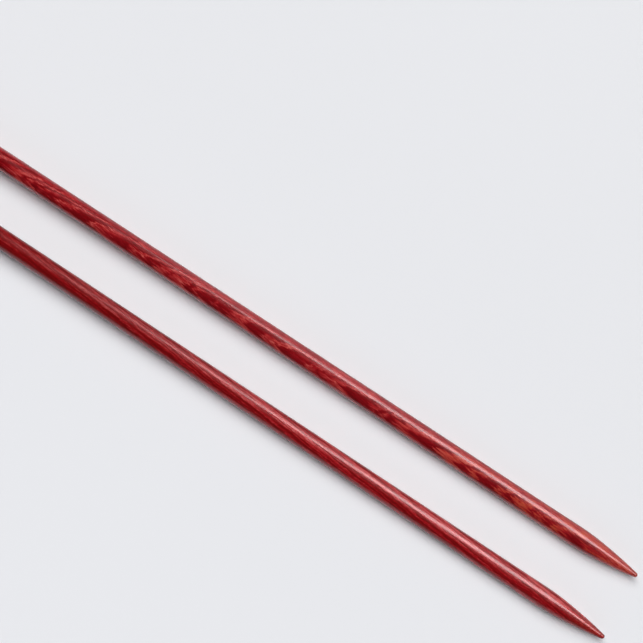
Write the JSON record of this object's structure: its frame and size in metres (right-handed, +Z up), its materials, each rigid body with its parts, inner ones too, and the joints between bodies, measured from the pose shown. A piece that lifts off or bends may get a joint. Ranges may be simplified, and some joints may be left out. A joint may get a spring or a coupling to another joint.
{
  "type": "straight knitting needles",
  "caption": "Straight single-pointed knitting needles with laminated, dyed and lacquered wooden shafts, tapered points and turned stoppers on plated ferrules.",
  "frame": {"origin": "on the surface that the needles lie on, at the centre of the pair's bounding box seen from above", "axes": "+X along the needles from their heads to their tips, +Z up from the surface, +Y from the right needle to the left one"},
  "size_m": [0.3512, 0.0326, 0.013],
  "materials": {
    "dyed_birch": "red-dyed laminated birch under clear gloss lacquer",
    "stopper_birch": "red-dyed turned birch under clear gloss lacquer",
    "nickel_plate": "bright nickel plate on brass",
    "pin_brass": "drawn brass"
  },
  "bodies": {
    "left_needle": {"left_shaft": "dyed_birch", "left_ferrule": "nickel_plate", "left_stopper": "stopper_birch", "left_end_button": "nickel_plate", "left_dowel_pin": "pin_brass"},
    "right_needle": {"right_shaft": "dyed_birch", "right_ferrule": "nickel_plate", "right_stopper": "stopper_birch", "right_end_button": "nickel_plate", "right_dowel_pin": "pin_brass"}
  },
  "joints": [
    {"name": "right_needle_lift", "type": "slide", "parent": "left_needle", "child": "right_needle", "axis": [0, 0, 1], "range_m": [0, 0.12]}
  ]
}
